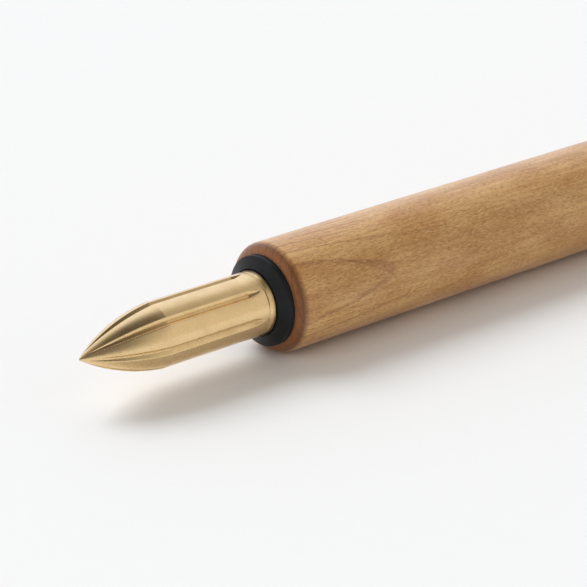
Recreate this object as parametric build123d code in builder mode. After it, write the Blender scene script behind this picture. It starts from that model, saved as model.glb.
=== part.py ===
from build123d import *
import math
import os

# Dip pen: a fluted brass point on a split brass tang, held by a resin collet inside a
# turned wooden barrel. The pen lies along X with its tip towards -X, on the plane Z = 0.
# Lengths along the pen are counted from the collar's mouth, negative towards the tip.

# ---- driving dimensions, millimetres ----
overall_length = 150.0
barrel_radius = 6.0
barrel_edge_radius = 1.2

nib_radius = 3.46
ogive_start = -13.3         # where the straight point turns into the ogive
ogive_break = 6.0           # degrees between the straight and the ogive there
ogive_apex = -22.65         # where the ogive would end if it were sharp
tip_radius = 0.13

flute_count = 7
flute_depth = 0.335
flute_floor_width = 0.2
flute_half_angle = 45.0     # degrees, each flank from the flute's middle plane
flute_first_angle = 136.1   # degrees from +Y towards +Z
flute_runout_end = -1.4
flute_runout_start = -2.7
flute_fade_gap = 0.55       # the flutes fade out this far behind the tip

seam_x = -0.72              # joint between the point and the tang's flange
seam_bevel = 0.06
flange_front_radius = 3.40
flange_rear_radius = 3.50
flange_rear_x = -0.03
flange_edge_radius = 0.05

tang_radius = 3.14
tang_bore_radius = 2.55
tang_rear_x = 12.8
tang_slit_width = 0.7
tang_slit_angle = 331.5
tang_slit_start = 1.2
spigot_rear_x = 3.6

collar_nose = 1.30          # how far the collar stands out of the barrel
collar_rim_x = 0.62         # where its cone meets its rim
collar_mouth_radius = 3.60
collar_rim_radius = 4.90
collar_sleeve_radius = 4.33
collar_bore_radius = 3.95
collar_lip_depth = 1.60
collar_rear_x = 17.0
glue_groove_depth = 0.12
glue_groove_width = 0.8
glue_groove_count = 3
glue_groove_pitch = 4.0

barrel_bore_radius = 4.35
barrel_bore_rear_x = 17.3
drill_point_angle = 59.0    # degrees, half of the drill's point

collet_radius = 3.90
collet_lip_radius = 3.55
collet_bore_radius = 3.20
collet_shoulder_x = 1.65
collet_floor_x = 13.6
collet_rear_x = 16.8
finger_count = 3
finger_slit_width = 0.35
finger_slit_rear_x = 11.0
finger_slit_angle = 112.0

ring_x = 5.2
ring_wire_radius = 0.20
ring_radius = 3.67
ring_arc = 310.0
ring_groove_floor = 3.46
ring_groove_width = 0.5

core_radius = 2.47
core_front_x = 4.6
core_nose_length = 1.2
core_nose_radius = 1.5
core_peg_radius = 1.5
core_peg_rear_x = 16.3

# ---- the ogive: an arc that ends on a small ball ----
def ogive_circle():
    """Centre and radius of the arc from the ogive's start to its sharp apex."""
    slope = math.radians(ogive_break)
    inward = (math.sin(slope), -math.cos(slope))
    run = (ogive_apex - ogive_start, -nib_radius)
    radius = (run[0] ** 2 + run[1] ** 2) / (2 * (run[0] * inward[0] + run[1] * inward[1]))
    centre = (ogive_start + radius * inward[0], nib_radius + radius * inward[1])
    return centre, radius


def ogive_radius(x):
    """Outer radius of the ogive at x."""
    centre, radius = ogive_circle()
    return centre[1] + math.sqrt(radius ** 2 - (x - centre[0]) ** 2)


def tip_ball():
    """Where the ball's centre is on the axis, and how far up it touches the ogive, in radians."""
    centre, radius = ogive_circle()
    ball_x = centre[0] - math.sqrt((radius - tip_radius) ** 2 - centre[1] ** 2)
    return ball_x, math.atan2(-centre[1], centre[0] - ball_x)


def on_tip_ball(angle):
    """A point on the ball, by its angle from the tip."""
    return ball_x - tip_radius * math.cos(angle), tip_radius * math.sin(angle)


ball_x, ball_angle = tip_ball()
nib_reach = tip_radius - ball_x

# ---- places worked out from the driving dimensions ----
mouth_x = nib_reach - overall_length / 2
barrel_rear = overall_length - nib_reach
axis_height = barrel_radius
pen_axis = Axis((mouth_x, 0, axis_height), (1, 0, 0))
side_plane = Plane(origin=(mouth_x, 0, axis_height), x_dir=(1, 0, 0), z_dir=(0, -1, 0))


def radial_plane(angle):
    """A plane through the pen's axis: its x runs along the pen and its y outwards."""
    turn = math.radians(angle)
    normal = (0, -math.sin(turn), math.cos(turn))
    return Plane(origin=(mouth_x, 0, axis_height), x_dir=(1, 0, 0), z_dir=normal)


# ---- point: straight body, ogive, flutes and the spigot that the tang is pressed on ----
ogive_middle = (ogive_start + ball_x) / 2
flute_fade_x = flute_fade_gap - nib_reach
flute_fade_root = ogive_radius(flute_fade_x) + 0.01
flute_root = nib_radius - flute_depth
flute_middle_root = ogive_radius(ogive_middle) - 0.8 * flute_depth
flute_clearance = nib_radius + flute_depth

with BuildPart() as nib_point:
    with BuildSketch(side_plane):
        with BuildLine():
            Line((-nib_reach, 0), (spigot_rear_x, 0))
            Polyline(
                (spigot_rear_x, 0),
                (spigot_rear_x, tang_bore_radius - 0.2),
                (spigot_rear_x - 0.2, tang_bore_radius),
                (seam_x, tang_bore_radius),
                (seam_x, nib_radius - seam_bevel),
                (seam_x - seam_bevel, nib_radius),
                (ogive_start, nib_radius),
            )
            ThreePointArc(
                (ogive_start, nib_radius),
                (ogive_middle, ogive_radius(ogive_middle)),
                on_tip_ball(ball_angle),
            )
            ThreePointArc(on_tip_ball(ball_angle), on_tip_ball(ball_angle / 2), (-nib_reach, 0))
        make_face()
    revolve(axis=pen_axis)
    for index in range(flute_count):
        middle_plane = radial_plane(flute_first_angle + index * 360 / flute_count)
        half_angle = math.radians(flute_half_angle)
        rise = middle_plane.y_dir * math.cos(half_angle)
        spread = middle_plane.z_dir * math.sin(half_angle)
        for side in (1, -1):
            with BuildSketch(middle_plane.offset(-side * flute_floor_width / 2)) as flute:
                with BuildLine():
                    Polyline(
                        (flute_runout_end, nib_radius),
                        (flute_runout_start, flute_root),
                        (ogive_start, flute_root),
                    )
                    ThreePointArc(
                        (ogive_start, flute_root),
                        (ogive_middle, flute_middle_root),
                        (flute_fade_x, flute_fade_root),
                    )
                    Polyline(
                        (flute_fade_x, flute_fade_root),
                        (flute_fade_x, flute_clearance),
                        (flute_runout_end + flute_depth, flute_clearance),
                        (flute_runout_end, nib_radius),
                    )
                make_face()
            extrude(amount=flute_floor_width / 2, dir=middle_plane.z_dir * side, mode=Mode.SUBTRACT)
            extrude(flute.sketch, amount=1.0, dir=rise - spread * side, mode=Mode.SUBTRACT)
nib_point.part.label = "nib_point"

# ---- tang: flange at the seam and a split tube that goes into the collet ----
with BuildPart() as nib_tang:
    with BuildSketch(side_plane):
        with BuildLine():
            Polyline(
                (seam_x, tang_bore_radius),
                (seam_x, flange_front_radius - seam_bevel),
                (seam_x + seam_bevel, flange_front_radius),
                (flange_rear_x - flange_edge_radius, flange_rear_radius),
            )
            RadiusArc(
                (flange_rear_x - flange_edge_radius, flange_rear_radius),
                (flange_rear_x, flange_rear_radius - flange_edge_radius),
                flange_edge_radius,
            )
            Polyline(
                (flange_rear_x, flange_rear_radius - flange_edge_radius),
                (flange_rear_x, tang_radius),
                (tang_rear_x - 0.3, tang_radius),
                (tang_rear_x, tang_radius - 0.2),
                (tang_rear_x, tang_bore_radius),
                (seam_x, tang_bore_radius),
            )
        make_face()
    revolve(axis=pen_axis)
    with BuildSketch(radial_plane(tang_slit_angle)):
        with BuildLine():
            Polyline(
                (tang_slit_start, 0),
                (tang_rear_x + 1, 0),
                (tang_rear_x + 1, nib_radius),
                (tang_slit_start, nib_radius),
                close=True,
            )
        make_face()
    extrude(amount=tang_slit_width / 2, both=True, mode=Mode.SUBTRACT)
nib_tang.part.label = "nib_tang"

# ---- collar: cone nose, rim seated on the barrel's end, sleeve glued in its bore ----
with BuildPart() as collar:
    with BuildSketch(side_plane):
        with BuildLine():
            Polyline(
                (0.0, collar_mouth_radius),
                (collar_rim_x, collar_rim_radius),
                (collar_nose, collar_rim_radius),
                (collar_nose, collar_sleeve_radius),
                (collar_rear_x, collar_sleeve_radius),
                (collar_rear_x, collar_bore_radius),
                (collar_lip_depth, collar_bore_radius),
                (collar_lip_depth, collar_mouth_radius),
                close=True,
            )
        make_face()
        for index in range(glue_groove_count):
            groove_x = collar_nose + glue_groove_pitch * (index + 0.75)
            with Locations((groove_x, collar_sleeve_radius)):
                Rectangle(glue_groove_width, 2 * glue_groove_depth, mode=Mode.SUBTRACT)
    revolve(axis=pen_axis)
collar.part.label = "collar"

# ---- collet: lip, three sprung fingers and a floor ----
with BuildPart() as collet:
    with BuildSketch(side_plane):
        with BuildLine():
            Polyline(
                (0.0, collet_bore_radius + 0.1),
                (0.0, collet_lip_radius),
                (collet_shoulder_x, collet_lip_radius),
                (collet_shoulder_x, collet_radius),
                (collet_rear_x, collet_radius),
                (collet_rear_x, core_peg_radius),
                (collet_floor_x, core_peg_radius),
                (collet_floor_x, collet_bore_radius),
                (0.1, collet_bore_radius),
                close=True,
            )
        make_face()
        with Locations((ring_x, collet_radius)):
            Rectangle(
                ring_groove_width,
                2 * (collet_radius - ring_groove_floor),
                mode=Mode.SUBTRACT,
            )
    revolve(axis=pen_axis)
    for index in range(finger_count):
        with BuildSketch(radial_plane(finger_slit_angle + index * 360 / finger_count)):
            with BuildLine():
                Polyline(
                    (-1, 2),
                    (finger_slit_rear_x, 2),
                    (finger_slit_rear_x, collet_radius + 1),
                    (-1, collet_radius + 1),
                    close=True,
                )
            make_face()
        extrude(amount=finger_slit_width / 2, both=True, mode=Mode.SUBTRACT)
collet.part.label = "collet"

# ---- spring ring: round wire that closes the fingers on the tang ----
with BuildPart() as spring_ring:
    with BuildSketch(side_plane):
        with Locations((ring_x, ring_radius)):
            Circle(ring_wire_radius)
    revolve(axis=pen_axis, revolution_arc=ring_arc)
spring_ring.part.label = "spring_ring"

# ---- core: stands in the collet and fills the tang from inside ----
with BuildPart() as core:
    with BuildSketch(side_plane):
        with BuildLine():
            Polyline(
                (core_front_x, 0),
                (core_front_x, core_nose_radius),
                (core_front_x + core_nose_length, core_radius),
                (collet_floor_x, core_radius),
                (collet_floor_x, core_peg_radius),
                (core_peg_rear_x, core_peg_radius),
                (core_peg_rear_x, 0),
                close=True,
            )
        make_face()
    revolve(axis=pen_axis)
core.part.label = "core"

# ---- barrel: turned wood, rounded at both ends, bored for the collar's sleeve ----
drill_point_x = barrel_bore_rear_x + barrel_bore_radius / math.tan(math.radians(drill_point_angle))

with BuildPart() as barrel:
    with BuildSketch(side_plane):
        with BuildLine():
            Polyline(
                (drill_point_x, 0),
                (barrel_rear, 0),
                (barrel_rear, barrel_radius - barrel_edge_radius),
            )
            RadiusArc(
                (barrel_rear, barrel_radius - barrel_edge_radius),
                (barrel_rear - barrel_edge_radius, barrel_radius),
                -barrel_edge_radius,
            )
            Line(
                (barrel_rear - barrel_edge_radius, barrel_radius),
                (collar_nose + barrel_edge_radius, barrel_radius),
            )
            RadiusArc(
                (collar_nose + barrel_edge_radius, barrel_radius),
                (collar_nose, barrel_radius - barrel_edge_radius),
                -barrel_edge_radius,
            )
            Polyline(
                (collar_nose, barrel_radius - barrel_edge_radius),
                (collar_nose, barrel_bore_radius),
                (barrel_bore_rear_x, barrel_bore_radius),
                (drill_point_x, 0),
            )
        make_face()
    revolve(axis=pen_axis)
barrel.part.label = "barrel"

# ---- write one file for each piece ----
os.makedirs("parts", exist_ok=True)
export_step(nib_point.part, "parts/nib_point.step")
export_step(nib_tang.part, "parts/nib_tang.step")
export_step(collar.part, "parts/collar.step")
export_step(collet.part, "parts/collet.step")
export_step(spring_ring.part, "parts/spring_ring.step")
export_step(core.part, "parts/core.step")
export_step(barrel.part, "parts/barrel.step")
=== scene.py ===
import math

import bmesh
import bpy
from mathutils import Matrix, Vector


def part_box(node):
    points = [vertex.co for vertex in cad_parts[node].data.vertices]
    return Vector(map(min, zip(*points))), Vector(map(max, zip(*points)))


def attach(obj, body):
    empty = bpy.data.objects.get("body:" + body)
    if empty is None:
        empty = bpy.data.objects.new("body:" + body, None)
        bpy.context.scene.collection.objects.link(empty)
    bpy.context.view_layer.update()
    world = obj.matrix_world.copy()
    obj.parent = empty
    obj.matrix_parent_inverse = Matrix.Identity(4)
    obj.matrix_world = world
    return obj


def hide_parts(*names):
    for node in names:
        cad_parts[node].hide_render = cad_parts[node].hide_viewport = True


# A dip pen lying on a pale surface: a fluted brass point on a split tang, a black resin
# collar and collet, and a turned wooden barrel. Shapes are given in millimetres: x along
# the pen from the collar's mouth, negative towards the tip, and r outwards from its axis.

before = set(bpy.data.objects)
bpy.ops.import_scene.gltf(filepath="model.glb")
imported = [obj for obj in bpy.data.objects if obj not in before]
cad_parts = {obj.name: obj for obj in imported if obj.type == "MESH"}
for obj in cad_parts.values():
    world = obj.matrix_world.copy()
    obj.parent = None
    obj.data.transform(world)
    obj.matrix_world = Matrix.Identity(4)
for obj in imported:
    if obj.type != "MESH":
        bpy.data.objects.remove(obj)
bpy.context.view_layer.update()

MM = 0.001
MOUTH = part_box("collar")[0].x
AXIS_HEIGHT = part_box("barrel")[1].z / 2
PEN_REAR = (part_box("barrel")[1].x - MOUTH) / MM

# ---- sizes read from the frame ----
NIB_REACH = (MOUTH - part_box("nib_point")[0].x) / MM
SPIGOT_REAR = (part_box("nib_point")[1].x - MOUTH) / MM
SEAM = (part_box("nib_tang")[0].x - MOUTH) / MM
TANG_REAR = (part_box("nib_tang")[1].x - MOUTH) / MM
COLLAR_REAR = (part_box("collar")[1].x - MOUTH) / MM
BARREL_FRONT = (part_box("barrel")[0].x - MOUTH) / MM
BARREL_RADIUS = AXIS_HEIGHT / MM

# ---- sizes that the CAD source also states ----
NIB_RADIUS = 3.46
OGIVE_START = -13.3
OGIVE_BREAK = math.radians(6.0)
OGIVE_APEX = -22.65
TIP_RADIUS = 0.13
FLUTE_COUNT = 7
FLUTE_DEPTH = 0.335
FLUTE_FLOOR = 0.1           # half of the width of a flute's flat floor
FLUTE_FIRST = math.radians(136.1)
FLUTE_FADE = 0.55           # the flutes fade out this far behind the tip
FLUTE_MIDDLE_SHARE = 0.8    # the share of its depth that a flute has halfway up the ogive
FLUTE_FADE_RISE = 0.01      # the flutes' bottom is this far above the ogive where they fade
RUNOUT_START = -2.7
RUNOUT_END = -1.4
SEAM_BEVEL = 0.06
SPIGOT_CHAMFER = 0.2
FLANGE_FRONT_RADIUS = 3.40  # the flange widens a little towards the collar
FLANGE_REAR_RADIUS = 3.50
FLANGE_REAR = -0.03
FLANGE_EDGE = 0.05
TANG_RADIUS = 3.14
TANG_BORE = 2.55
TANG_TAPER_LENGTH = 0.3
TANG_TAPER_DEPTH = 0.2
TANG_SLIT_START = 1.2
TANG_SLIT_WIDTH = 0.7
TANG_SLIT_ANGLE = math.radians(331.5)
COLLAR_MOUTH = 3.60
COLLAR_RIM_X = 0.62
COLLAR_RIM = 4.90
COLLAR_SLEEVE = 4.33
COLLAR_BORE = 3.95
COLLAR_LIP = 1.60
BARREL_EDGE = 1.2
BARREL_BORE = 4.35
BARREL_BORE_REAR = 17.3

# ---- finer shapes that only this model has ----
SEAM_GAP = 0.08             # the point's shoulder stands this far off the flange
SEAM_DEPTH = 0.35
FLUTE_EDGE = 0.17           # the flutes' edges, rounded by polishing
FLUTE_EDGE_SHARE = 0.95     # that rounding is at most this share of the flute's depth
FLUTE_LEAST = 0.004         # a flute shallower than this is left out
MOUTH_EDGE = 0.05           # the bevel round the collar's mouth
RIM_EDGE = 0.08             # the rounding of the collar's rim
SHANK_MARGIN = 2.0          # from each end of the barrel to where its even rows start

# ---- how finely the shapes are divided ----
TURN_STEPS = 192
BARREL_TURN_STEPS = 256
BARREL_EDGE_STEPS = 16
BARREL_STEPS = 40
BALL_STEPS = 4
FADE_STEPS = 4
OGIVE_STEPS = 90
BODY_STEPS = 24
RUNOUT_STEPS = 16
SHOULDER_STEPS = 3
EDGE_STEPS = 6
LAND_STEPS = 12
SHARP_ANGLE = math.radians(30)
SAME_PLACE = 1e-7           # metres, the most by which two equal places differ


# ---------------------------------------------------------------- meshes
def place(x, r, angle):
    """The point at x and r in millimetres, turned about the pen by angle from +Y to +Z."""
    across = Vector((0.0, math.cos(angle), math.sin(angle))) * r * MM
    return Vector((MOUTH + x * MM, 0.0, AXIS_HEIGHT)) + across


def arc(x, r, radius, start, end, steps=8):
    """Points of an arc about (x, r), with its angles in degrees from the pen's +X."""
    turns = [math.radians(start + (end - start) * i / steps) for i in range(steps + 1)]
    return [(x + radius * math.cos(t), r + radius * math.sin(t)) for t in turns]


def shade(mesh):
    """Smooth shading, except across sharp edges."""
    mesh.shade_smooth()
    mesh.set_sharp_from_angle(angle=SHARP_ANGLE)


def new_piece(name, mesh):
    """An object for a finished mesh."""
    shade(mesh)
    piece = bpy.data.objects.new(name, mesh)
    bpy.context.scene.collection.objects.link(piece)
    return piece


def skin(name, rows, closed_profile):
    """A mesh whose rows run round the pen. Rows of one point are poles on the axis."""
    shape = bmesh.new()
    rings = [[shape.verts.new(point) for point in row] for row in rows]
    pairs = list(zip(rings, rings[1:]))
    if closed_profile:
        pairs.append((rings[-1], rings[0]))
    for first, second in pairs:
        count = max(len(first), len(second))
        for i in range(count):
            j = (i + 1) % count
            corners = [first[i % len(first)], first[j % len(first)]]
            corners += [second[j % len(second)], second[i % len(second)]]
            shape.faces.new(list(dict.fromkeys(corners)))
    bmesh.ops.recalc_face_normals(shape, faces=shape.faces)
    mesh = bpy.data.meshes.new(name)
    shape.to_mesh(mesh)
    shape.free()
    return mesh


def lathe(name, profile, closed_profile=True, steps=TURN_STEPS):
    """A turned mesh. Points of the profile with no radius become poles."""
    rows = []
    for x, r in profile:
        turns = [2 * math.pi * i / steps for i in range(steps)] if r > 0.0 else [0.0]
        rows.append([place(x, r, turn) for turn in turns])
    return skin(name, rows, closed_profile)


def cut_slit(piece, angle, start, end, low, high, width):
    """Cuts a straight slit, from start to end along the pen and low to high outwards."""
    cutter_shape = bmesh.new()
    bmesh.ops.create_cube(cutter_shape, size=1.0)
    size = Vector((end - start, high - low, width)) * MM
    middle = Vector(((start + end) / 2, (low + high) / 2, 0.0)) * MM
    turn = Matrix.Rotation(angle, 4, "X")
    to_pen = Matrix.Translation(Vector((MOUTH, 0.0, AXIS_HEIGHT)))
    grow = Matrix.Diagonal(size.to_4d())
    grow[3][3] = 1.0
    cutter_shape.transform(to_pen @ turn @ Matrix.Translation(middle) @ grow)
    cutter_mesh = bpy.data.meshes.new("slit_cutter")
    cutter_shape.to_mesh(cutter_mesh)
    cutter_shape.free()
    cutter = bpy.data.objects.new("slit_cutter", cutter_mesh)
    bpy.context.scene.collection.objects.link(cutter)
    cut = piece.modifiers.new("slit", "BOOLEAN")
    cut.operation = "DIFFERENCE"
    cut.solver = "EXACT"
    cut.object = cutter
    bpy.context.view_layer.update()
    graph = bpy.context.evaluated_depsgraph_get()
    mesh = bpy.data.meshes.new_from_object(piece.evaluated_get(graph))
    piece.modifiers.clear()
    piece.data = mesh
    shade(mesh)
    bpy.data.objects.remove(cutter)


# ---------------------------------------------------------------- the fluted point
def circle_through(first, second, third):
    """Centre and radius of the circle through three points."""
    (ax, ay), (bx, by), (cx, cy) = first, second, third
    area = 2 * (ax * (by - cy) + bx * (cy - ay) + cx * (ay - by))
    a, b, c = ax * ax + ay * ay, bx * bx + by * by, cx * cx + cy * cy
    x = (a * (by - cy) + b * (cy - ay) + c * (ay - by)) / area
    y = (a * (cx - bx) + b * (ax - cx) + c * (bx - ax)) / area
    return x, y, math.hypot(ax - x, ay - y)


def ogive_circle():
    """Centre and radius of the arc from the ogive's start to its sharp apex."""
    inward = (math.sin(OGIVE_BREAK), -math.cos(OGIVE_BREAK))
    run = (OGIVE_APEX - OGIVE_START, -NIB_RADIUS)
    radius = (run[0] ** 2 + run[1] ** 2) / (2 * (run[0] * inward[0] + run[1] * inward[1]))
    return OGIVE_START + radius * inward[0], NIB_RADIUS + radius * inward[1], radius


OGIVE = ogive_circle()
BALL_X = OGIVE[0] - math.sqrt((OGIVE[2] - TIP_RADIUS) ** 2 - OGIVE[1] ** 2)
BALL_TOP = math.atan2(-OGIVE[1], OGIVE[0] - BALL_X)
OGIVE_END = BALL_X - TIP_RADIUS * math.cos(BALL_TOP)
OGIVE_MIDDLE = (OGIVE_START + BALL_X) / 2
FADE_X = FLUTE_FADE - NIB_REACH


def on_circle(circle, x):
    """Height of the upper side of a circle at x."""
    return circle[1] + math.sqrt(circle[2] ** 2 - (x - circle[0]) ** 2)


def body_radius(x):
    """Radius of the point's lands at x."""
    if x >= OGIVE_START:
        return NIB_RADIUS
    if x >= OGIVE_END:
        return on_circle(OGIVE, x)
    return math.sqrt(max(TIP_RADIUS ** 2 - (x - BALL_X) ** 2, 0.0))


# the arc that the flutes' bottom follows along the ogive
ROOT = circle_through(
    (OGIVE_START, NIB_RADIUS - FLUTE_DEPTH),
    (OGIVE_MIDDLE, on_circle(OGIVE, OGIVE_MIDDLE) - FLUTE_MIDDLE_SHARE * FLUTE_DEPTH),
    (FADE_X, on_circle(OGIVE, FADE_X) + FLUTE_FADE_RISE),
)


def flute_root(x):
    """Radius of the bottom of the flutes at x, or None where there are none."""
    if x <= FADE_X or x >= RUNOUT_END:
        return None
    if x < OGIVE_START:
        return on_circle(ROOT, x)
    ramp = max(0.0, (x - RUNOUT_START) / (RUNOUT_END - RUNOUT_START))
    return NIB_RADIUS - FLUTE_DEPTH * (1.0 - ramp)


def flute_section(radius, root):
    """Half of a flute's section as (angle, radius): its floor, its flank and its worn edge."""
    depth = radius - root
    # by the tip the floor is wider than the point, so the radius is held up there
    floor_turn = math.asin(FLUTE_FLOOR / max(radius, 3 * FLUTE_FLOOR))
    if depth < FLUTE_LEAST:
        turns = [floor_turn * i / (EDGE_STEPS + 2) for i in range(EDGE_STEPS + 3)]
        return [(turn, radius) for turn in turns]
    worn = min(FLUTE_EDGE, FLUTE_EDGE_SHARE * depth)
    # the worn edge's centre, (aside, out): it touches the flank at 45 degrees and the land
    low = root - FLUTE_FLOOR - math.sqrt(2) * worn
    aside = (math.sqrt(2 * (radius - worn) ** 2 - low ** 2) - low) / 2
    out = low + aside
    last = math.atan2(aside, out)
    section = [(0.0, root), (math.atan2(FLUTE_FLOOR, root), math.hypot(FLUTE_FLOOR, root))]
    for i in range(EDGE_STEPS + 1):
        turn = -math.pi / 4 + (last + math.pi / 4) * i / EDGE_STEPS
        y, z = aside + worn * math.sin(turn), out + worn * math.cos(turn)
        section.append((math.atan2(y, z), math.hypot(y, z)))
    return section


def spread(start, end, count):
    """count values from start up to, and without, end."""
    return [start + (end - start) * i / count for i in range(count)]


def point_row(x):
    """The points round the nib at x: each flute's floor and side, a land, the next side."""
    radius = body_radius(x)
    root = flute_root(x)
    side = flute_section(radius, radius if root is None else min(root, radius))
    period = 2 * math.pi / FLUTE_COUNT
    land_start, land_end = side[-1][0], period - side[-1][0]
    section = side + [(turn, radius) for turn in spread(land_start, land_end, LAND_STEPS)[1:]]
    section += [(period - turn, r) for turn, r in reversed(side[1:])]
    return [
        place(x, r, FLUTE_FIRST + flute * period + turn)
        for flute in range(FLUTE_COUNT)
        for turn, r in section
    ]


def make_nib_point():
    """The brass point: its tip ball, ogive, straight body, seam bevel and spigot."""
    shoulder = SEAM - SEAM_GAP
    climb = [BALL_TOP * i / BALL_STEPS for i in range(1, BALL_STEPS)]
    stations = [BALL_X - TIP_RADIUS * math.cos(turn) for turn in climb]
    stations += spread(OGIVE_END, FADE_X, FADE_STEPS)
    stations += spread(FADE_X, OGIVE_START, OGIVE_STEPS)
    stations += spread(OGIVE_START, RUNOUT_START, BODY_STEPS)
    stations += spread(RUNOUT_START, RUNOUT_END, RUNOUT_STEPS)
    stations += spread(RUNOUT_END, shoulder - SEAM_BEVEL, SHOULDER_STEPS)
    stations.append(shoulder - SEAM_BEVEL)
    rows = [[place(-NIB_REACH, 0.0, 0.0)]] + [point_row(x) for x in stations]
    steps = len(rows[1])
    turns = [FLUTE_FIRST + 2 * math.pi * i / steps for i in range(steps)]
    tail = [
        (shoulder, NIB_RADIUS - SEAM_BEVEL),
        (shoulder, NIB_RADIUS - SEAM_DEPTH),
        (SEAM, NIB_RADIUS - SEAM_DEPTH),
        (SEAM, TANG_BORE),
        (SPIGOT_REAR - SPIGOT_CHAMFER, TANG_BORE),
        (SPIGOT_REAR, TANG_BORE - SPIGOT_CHAMFER),
    ]
    rows += [[place(x, r, turn) for turn in turns] for x, r in tail]
    rows.append([place(SPIGOT_REAR, 0.0, 0.0)])
    piece = new_piece("brass_point", skin("brass_point", rows, False))
    # the breaks at the ogive's start and the run-outs' start stay crisp
    creases = [MOUTH + OGIVE_START * MM, MOUTH + RUNOUT_START * MM]
    for line in piece.data.edges:
        ends = [piece.data.vertices[v].co.x for v in line.vertices]
        if any(max(abs(end - crease) for end in ends) < SAME_PLACE for crease in creases):
            line.use_edge_sharp = True
    normals = piece.modifiers.new("face_normals", "WEIGHTED_NORMAL")
    normals.keep_sharp = True
    return piece


# ---------------------------------------------------------------- the turned pieces
def make_tang():
    """The flange behind the seam and the split tube behind it."""
    profile = [
        (SEAM, TANG_BORE),
        (SEAM, FLANGE_FRONT_RADIUS - SEAM_BEVEL),
        (SEAM + SEAM_BEVEL, FLANGE_FRONT_RADIUS),
    ]
    edge = FLANGE_REAR - FLANGE_EDGE, FLANGE_REAR_RADIUS - FLANGE_EDGE
    profile += arc(*edge, FLANGE_EDGE, 90, 0)
    profile += [
        (FLANGE_REAR, TANG_RADIUS),
        (TANG_REAR - TANG_TAPER_LENGTH, TANG_RADIUS),
        (TANG_REAR, TANG_RADIUS - TANG_TAPER_DEPTH),
        (TANG_REAR, TANG_BORE),
    ]
    piece = new_piece("brass_tang", lathe("brass_tang", profile))
    # the cutter reaches 1 mm past the tang's rear, and from inside its bore to outside it
    along = TANG_SLIT_START, TANG_REAR + 1.0
    cut_slit(piece, TANG_SLIT_ANGLE, *along, 1.0, 4.0, TANG_SLIT_WIDTH)
    return piece


def make_collar():
    """The black cone with its rounded rim, and the sleeve in the barrel."""
    profile = [(0.0, COLLAR_MOUTH + MOUTH_EDGE), (MOUTH_EDGE, COLLAR_MOUTH)]
    profile += [(COLLAR_LIP, COLLAR_MOUTH), (COLLAR_LIP, COLLAR_BORE)]
    profile += [(COLLAR_REAR, COLLAR_BORE), (COLLAR_REAR, COLLAR_SLEEVE)]
    profile += [(BARREL_FRONT, COLLAR_SLEEVE), (BARREL_FRONT, COLLAR_RIM)]
    turn = math.atan2(COLLAR_RIM - COLLAR_MOUTH, COLLAR_RIM_X)
    centre = COLLAR_RIM_X + RIM_EDGE * math.tan(turn / 2)
    profile += arc(centre, COLLAR_RIM - RIM_EDGE, RIM_EDGE, 90, 90 + math.degrees(turn))
    return new_piece("collar_cone", lathe("collar_cone", profile))


def make_barrel():
    """The wooden barrel with rounded ends and the bore for the collar's sleeve."""
    rounded = BARREL_RADIUS - BARREL_EDGE
    shank = spread(BARREL_FRONT + SHANK_MARGIN, PEN_REAR - SHANK_MARGIN, BARREL_STEPS)
    profile = [(BARREL_BORE_REAR, 0.0), (BARREL_BORE_REAR, BARREL_BORE)]
    profile += [(BARREL_FRONT, BARREL_BORE)]
    profile += arc(BARREL_FRONT + BARREL_EDGE, rounded, BARREL_EDGE, 180, 90, BARREL_EDGE_STEPS)
    profile += [(x, BARREL_RADIUS) for x in shank]
    profile += arc(PEN_REAR - BARREL_EDGE, rounded, BARREL_EDGE, 90, 0, BARREL_EDGE_STEPS)
    profile += [(PEN_REAR, 0.0)]
    return new_piece("wooden_barrel", lathe("wooden_barrel", profile, False, BARREL_TURN_STEPS))


# ---------------------------------------------------------------- materials
# colours, as linear red, green, blue and alpha
BRASS_BRIGHT = (0.835, 0.612, 0.322, 1.0)
BRASS_TARNISHED = (0.775, 0.560, 0.288, 1.0)
BRASS_SPOT = (0.50, 0.34, 0.16, 1.0)
RESIN_DARK = (0.006, 0.008, 0.010, 1.0)
RESIN_LIGHT = (0.010, 0.012, 0.015, 1.0)
STEEL_DARK = (0.50, 0.51, 0.53, 1.0)
STEEL_BRIGHT = (0.68, 0.69, 0.71, 1.0)
WOOD_LIGHT = (0.710, 0.418, 0.157, 1.0)
WOOD_WARM = (0.560, 0.285, 0.080, 1.0)
WOOD_DARK = (0.420, 0.180, 0.038, 1.0)
WOOD_LATE = (0.270, 0.095, 0.015, 1.0)
WOOD_PALE = (0.860, 0.580, 0.280, 1.0)
WOOD_END = (0.280, 0.080, 0.010, 1.0)
WOOD_END_DARK = (0.095, 0.020, 0.001, 1.0)
WOOD_FACE = (0.480, 0.240, 0.085, 1.0)
WOOD_FACE_PORE = (0.300, 0.120, 0.030, 1.0)
FLOOR_DARK = (0.900, 0.902, 0.904, 1.0)
FLOOR_LIGHT = (0.910, 0.912, 0.914, 1.0)

# the barrel's growth rings: the side they face, their lean, and their places in millimetres
RING_SIDE = math.radians(160.0)
RING_LEAN = 0.0712
RING_PITCH = 1.09
RING_START = -4.85


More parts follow.
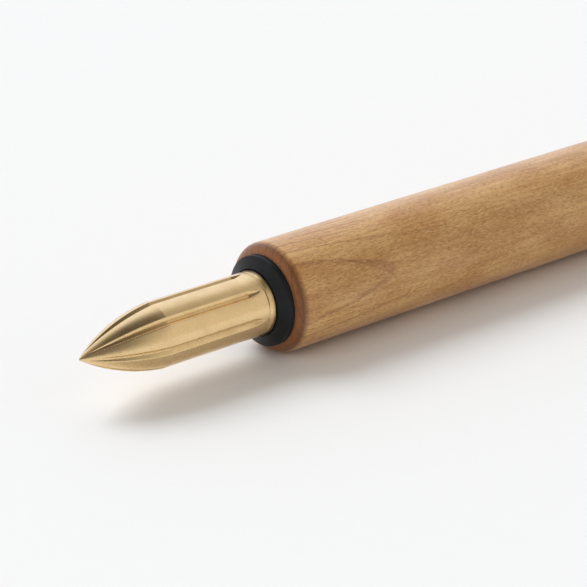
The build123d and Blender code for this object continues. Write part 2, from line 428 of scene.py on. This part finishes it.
class Nodes:
    """A small helper that makes a material's nodes and links them."""

    def __init__(self, name):
        self.material = bpy.data.materials.new(name)
        self.material.use_nodes = True
        self.tree = self.material.node_tree
        self.shader = self.tree.nodes["Principled BSDF"]

    def make(self, kind, inputs, output=0, **settings):
        """The output of a new node. Inputs are values, or sockets to link from."""
        node = self.tree.nodes.new(kind)
        for key, value in settings.items():
            setattr(node, key, value)
        for key, value in inputs.items():
            self.feed(node.inputs[key], value)
        return node.outputs[output]

    def feed(self, socket, value):
        """Sets a socket to a value, or links it from another socket."""
        if isinstance(value, bpy.types.NodeSocket):
            self.tree.links.new(value, socket)
        else:
            socket.default_value = value

    def set(self, **inputs):
        """Inputs of the shader, with spaces written as underscores."""
        for key, value in inputs.items():
            self.feed(self.shader.inputs[key.replace("_", " ")], value)

    def math(self, operation, first, second=0.0):
        """The result of one of Blender's operations on one or two numbers."""
        return self.make("ShaderNodeMath", {0: first, 1: second}, operation=operation)

    def times(self, first, second):
        """The product of two numbers."""
        return self.math("MULTIPLY", first, second)

    def clamp(self, value, low, high, to_low=0.0, to_high=1.0):
        """value mapped from low..high to to_low..to_high, and held there."""
        inputs = {0: value, 1: low, 2: high, 3: to_low, 4: to_high}
        return self.make("ShaderNodeMapRange", inputs)

    def mix(self, share, first, second):
        """The first colour, and this share of the second."""
        return self.make("ShaderNodeMix", {0: share, 6: first, 7: second}, 2, data_type="RGBA")

    def place(self):
        """Places on the pen in millimetres, from the middle of the collar's mouth."""
        coords = self.make("ShaderNodeTexCoord", {}, "Object")
        inputs = {0: coords, 1: (MOUTH, 0.0, AXIS_HEIGHT)}
        moved = self.make("ShaderNodeVectorMath", inputs, operation="SUBTRACT")
        return self.make("ShaderNodeMapping", {"Vector": moved, "Scale": (1.0 / MM,) * 3})

    def noise(self, scale, detail, roughness=0.5):
        """Noise with this many features to a millimetre along each axis."""
        where = self.make("ShaderNodeMapping", {"Vector": self.place(), "Scale": scale})
        inputs = {"Vector": where, "Scale": 1.0, "Detail": detail, "Roughness": roughness}
        return self.make("ShaderNodeTexNoise", inputs)

    def bump(self, height, strength, depth):
        """A bump whose full height is depth millimetres."""
        inputs = {"Height": height, "Strength": strength, "Distance": depth * MM}
        return self.make("ShaderNodeBump", inputs)


def brass_material():
    """Turned and brushed brass: fine rings, faint lengthwise rubbing, specks and tarnish."""
    n = Nodes("brass_turned")
    rings = n.noise((26.0, 0.35, 0.35), 2.0, 0.6)
    rubbing = n.noise((0.22, 9.0, 9.0), 3.0, 0.6)
    specks = n.noise((9.0, 9.0, 9.0), 2.0, 0.7)
    clouds = n.noise((0.45, 0.7, 0.7), 3.0, 0.55)
    tarnish = n.clamp(clouds, 0.45, 0.72)
    colour = n.mix(tarnish, BRASS_BRIGHT, BRASS_TARNISHED)
    spots = n.clamp(specks, 0.62, 0.76)
    colour = n.mix(n.times(spots, 0.25), colour, BRASS_SPOT)
    ring_rough = n.clamp(rings, 0.3, 0.7, 0.0, 0.06)
    cloud_rough = n.clamp(clouds, 0.3, 0.7, 0.20, 0.28)
    height = n.math("ADD", n.times(rings, 0.6), n.times(rubbing, 0.5))
    n.set(Base_Color=colour, Metallic=1.0, Roughness=n.math("ADD", ring_rough, cloud_rough))
    n.set(Normal=n.bump(height, 0.09, 0.02))
    return n.material


def resin_material():
    """Black moulded resin with a soft gloss and a faint grain."""
    n = Nodes("resin_black")
    grain = n.noise((7.0, 7.0, 7.0), 3.0, 0.6)
    clouds = n.noise((0.8, 0.8, 0.8), 2.0)
    colour = n.mix(n.clamp(clouds, 0.35, 0.65), RESIN_DARK, RESIN_LIGHT)
    n.set(Base_Color=colour, Roughness=n.clamp(grain, 0.3, 0.7, 0.34, 0.46))
    n.set(Specular_IOR_Level=0.22, Normal=n.bump(grain, 0.10, 0.03))
    return n.material


def steel_material():
    """Bright drawn spring wire with marks along it."""
    n = Nodes("steel_wire")
    marks = n.noise((18.0, 1.0, 1.0), 2.0)
    n.set(Base_Color=n.mix(marks, STEEL_DARK, STEEL_BRIGHT), Metallic=1.0)
    n.set(Roughness=n.clamp(marks, 0.3, 0.7, 0.2, 0.32), Normal=n.bump(marks, 0.1, 0.02))
    return n.material


def late_wood(n):
    """How much late wood there is, 0 to 1: in each ring it comes on more slowly than it ends."""
    across_rings = (RING_LEAN, -math.cos(RING_SIDE), -math.sin(RING_SIDE))
    inputs = {0: n.place(), 1: across_rings}
    depth = n.make("ShaderNodeVectorMath", inputs, "Value", operation="DOT_PRODUCT")
    wander = n.noise((0.05, 0.16, 0.16), 2.0, 0.5)
    depth = n.math("ADD", depth, n.clamp(wander, 0.0, 1.0, -0.45, 0.45))
    depth = n.math("SUBTRACT", depth, RING_START)
    ring = n.math("FRACT", n.math("DIVIDE", depth, RING_PITCH))
    return n.times(n.clamp(ring, 0.76, 0.92), n.clamp(ring, 0.92, 1.0, 1.0, 0.0))


def wood_material():
    """Fine fruitwood cut slightly across its growth rings, with darker end grain."""
    n = Nodes("wood_fruitwood")
    late = late_wood(n)
    flecks = n.noise((1.8, 7.0, 7.0), 3.0, 0.62)
    strands = n.noise((0.10, 2.6, 2.6), 3.0, 0.55)
    clouds = n.noise((0.09, 0.32, 0.32), 2.0, 0.5)
    colour = n.mix(n.clamp(clouds, 0.40, 0.60), WOOD_LIGHT, WOOD_WARM)
    colour = n.mix(n.clamp(strands, 0.40, 0.66, 0.0, 0.45), colour, WOOD_DARK)
    # the growth lines are clear by the collar and fade towards the pen's rear
    along = n.make("ShaderNodeSeparateXYZ", {0: n.place()})
    fading = n.times(n.clamp(along, 10.0, 20.0, 0.72, 0.18), n.clamp(clouds, 0.3, 0.6, 0.6, 1.0))
    colour = n.mix(n.times(late, fading), colour, WOOD_LATE)
    colour = n.mix(n.clamp(flecks, 0.52, 0.68, 0.0, 0.62), colour, WOOD_LATE)
    colour = n.mix(n.clamp(flecks, 0.30, 0.46, 0.42, 0.0), colour, WOOD_PALE)
    # end grain: the turned ends face along the pen and take up more oil
    normal = n.make("ShaderNodeNewGeometry", {}, "True Normal")
    facing = n.math("ABSOLUTE", n.make("ShaderNodeSeparateXYZ", {0: normal}))
    pores = n.noise((3.0, 11.0, 11.0), 3.0, 0.7)
    end_tone = n.times(n.clamp(facing, 0.5, 0.95), n.clamp(pores, 0.3, 0.6))
    end_colour = n.mix(end_tone, WOOD_END_DARK, WOOD_END)
    end_colour = n.mix(n.times(late, 0.55), end_colour, WOOD_END_DARK)
    # the flat of an end is sanded smooth, so it is lighter and shows its rings and pores
    face_colour = n.mix(n.clamp(pores, 0.35, 0.60), WOOD_FACE_PORE, WOOD_FACE)
    face_colour = n.mix(n.times(late, 0.85), face_colour, WOOD_END)
    end_colour = n.mix(n.clamp(facing, 0.9975, 0.9995), end_colour, face_colour)
    colour = n.mix(n.clamp(facing, 0.05, 0.60, 0.0, 0.90), colour, end_colour)
    n.set(Base_Color=colour, Roughness=n.clamp(flecks, 0.3, 0.7, 0.42, 0.58))
    n.set(Specular_IOR_Level=0.40, Coat_Weight=0.42, Coat_Roughness=0.30)
    n.set(Sheen_Weight=0.26, Sheen_Roughness=0.32)
    height = n.math("ADD", flecks, n.times(strands, 0.5))
    n.set(Normal=n.bump(height, 0.30, 0.05))
    return n.material


def floor_material():
    """Plain pale board with a barely visible grain."""
    n = Nodes("pale_floor")
    grain = n.noise((0.5, 0.5, 0.5), 2.0)
    n.set(Base_Color=n.mix(grain, FLOOR_DARK, FLOOR_LIGHT))
    n.set(Roughness=0.8, Specular_IOR_Level=0.2)
    return n.material


def dress(piece, body, slot, material, *nodes):
    """Gives a piece its material and body, and hides the CAD nodes it stands for. The slot
    argument is not used.
    """
    piece.data.materials.clear()
    piece.data.materials.append(material)
    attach(piece, body)
    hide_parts(*nodes)


# ---------------------------------------------------------------- the pen
brass = brass_material()
resin = resin_material()
dress(make_nib_point(), "nib", "brass", brass, "nib_point")
dress(make_tang(), "nib", "brass", brass, "nib_tang")
dress(make_collar(), "holder", "black_resin", resin, "collar")
dress(make_barrel(), "holder", "wood", wood_material(), "barrel")

kept_nodes = {"collet": resin, "core": resin, "spring_ring": steel_material()}
for name, material in kept_nodes.items():
    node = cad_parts[name]
    node.data.materials.clear()
    node.data.materials.append(material)

# ---------------------------------------------------------------- floor, light and camera
FLOOR_HALF = 6.0            # metres, half of the floor's side

floor_mesh = bpy.data.meshes.new("floor")
floor_shape = bmesh.new()
bmesh.ops.create_grid(floor_shape, x_segments=1, y_segments=1, size=FLOOR_HALF)
floor_shape.to_mesh(floor_mesh)
floor_shape.free()
floor_mesh.materials.append(floor_material())
floor = bpy.data.objects.new("floor", floor_mesh)
bpy.context.scene.collection.objects.link(floor)


# ---- the studio: a room, dark overhead and by the camera, with a glow, and two soft lamps ----
def toward(azimuth, elevation):
    """A direction from its azimuth, counted from +X to +Y, and its elevation, in degrees."""
    turn, rise = math.radians(azimuth), math.radians(elevation)
    level = math.cos(rise)
    return Vector((math.cos(turn) * level, math.sin(turn) * level, math.sin(rise)))


ROOM_COLOUR = (0.79, 0.75, 0.70)
# each lobe: its direction, how far from it in degrees the full strength reaches and where it
# ends, and its colour, which the dark lobes take off the room as a share and the glow adds
CEILING = (toward(-90, 78), 10.0, 46.0, (0.87, 0.875, 0.885))
SHADE = (toward(-120, 26), 8.0, 48.0, (0.74, 0.74, 0.74))
GLOW = (toward(64, 32), 15.0, 48.0, (0.32, 0.42, 0.66))
# each lamp: direction, strength, angle across it and its colour
KEY = (toward(97, 50), 1.55, math.radians(34.0), (0.97, 1.0, 0.99))
FILL = (toward(-160, 35), 0.50, math.radians(50.0), (1.0, 1.0, 1.0))


def make_studio():
    """The world: a pale room, dark overhead and by the camera, with a glow behind the pen."""
    world = bpy.data.worlds.new("studio")
    bpy.context.scene.world = world
    world.use_nodes = True
    tree = world.node_tree

    def node(kind, inputs, output=0, **settings):
        made = tree.nodes.new(kind)
        for key, value in settings.items():
            setattr(made, key, value)
        for key, value in inputs.items():
            if isinstance(value, bpy.types.NodeSocket):
                tree.links.new(value, made.inputs[key])
            else:
                made.inputs[key].default_value = value
        return made.outputs[output]

    def vector(operation, first, second):
        return node("ShaderNodeVectorMath", {0: first, 1: second}, operation=operation)

    def share(value, low, high):
        inputs = {0: value, 1: low, 2: high, 3: 0.0, 4: 1.0}
        return node("ShaderNodeMapRange", inputs, interpolation_type="SMOOTHSTEP")

    def scaled(colour, amount):
        inputs = {0: colour, "Scale": amount}
        return node("ShaderNodeVectorMath", inputs, operation="SCALE")

    def lobe(centre, core, edge, colour):
        inputs = {0: direction, 1: centre}
        facing = node("ShaderNodeVectorMath", inputs, "Value", operation="DOT_PRODUCT")
        start, full = math.cos(math.radians(edge)), math.cos(math.radians(core))
        return scaled(colour, share(facing, start, full))

    direction = tree.nodes.new("ShaderNodeTexCoord").outputs["Generated"]
    light = ROOM_COLOUR
    for dark in (CEILING, SHADE):
        left = vector("SUBTRACT", (1.0, 1.0, 1.0), lobe(*dark))
        light = vector("MULTIPLY", light, left)
    light = vector("ADD", light, lobe(*GLOW))
    tree.links.new(light, tree.nodes["Background"].inputs[0])


def make_lamp(name, source, energy, angle, colour):
    """A soft lamp that lights the floor and the pen but is not mirrored in the brass."""
    lamp = bpy.data.lights.new(name, "SUN")
    lamp.energy = energy
    lamp.color = colour
    lamp.angle = angle
    stand = bpy.data.objects.new(name, lamp)
    stand.rotation_mode = "QUATERNION"
    stand.rotation_quaternion = source.to_track_quat("Z", "Y")
    stand.visible_glossy = False
    bpy.context.scene.collection.objects.link(stand)


make_studio()
make_lamp("key", *KEY)
make_lamp("fill", *FILL)

bpy.context.scene.view_settings.view_transform = "Standard"

# the camera looks down on the tip from -X and -Y; lengths here are in metres
AZIMUTH = math.radians(-40.54)
ELEVATION = math.radians(22.39)
DISTANCE = 0.2611
AIM_RIGHT = 0.00401         # the aim's place beside the collar's mouth, in the picture
AIM_UP = 0.00095
SENSOR = 36.0
FOCAL_SHARE = 4.2784        # focal length over the sensor's width
CLIP_START = 0.01
CLIP_END = 20.0

level = math.cos(ELEVATION)
back = Vector((math.sin(AZIMUTH) * level, -math.cos(AZIMUTH) * level, math.sin(ELEVATION)))
right = Vector((math.cos(AZIMUTH), math.sin(AZIMUTH), 0.0))
up = back.cross(right)
aim = Vector((MOUTH, 0.0, AXIS_HEIGHT)) + right * AIM_RIGHT + up * AIM_UP
camera_data = bpy.data.cameras.new("camera")
camera_data.sensor_width = SENSOR
camera_data.lens = SENSOR * FOCAL_SHARE
camera_data.clip_start = CLIP_START
camera_data.clip_end = CLIP_END
camera = bpy.data.objects.new("camera", camera_data)
camera.location = aim + back * DISTANCE
camera.rotation_mode = "QUATERNION"
camera.rotation_quaternion = back.to_track_quat("Z", "Y")
bpy.context.scene.collection.objects.link(camera)
bpy.context.scene.camera = camera
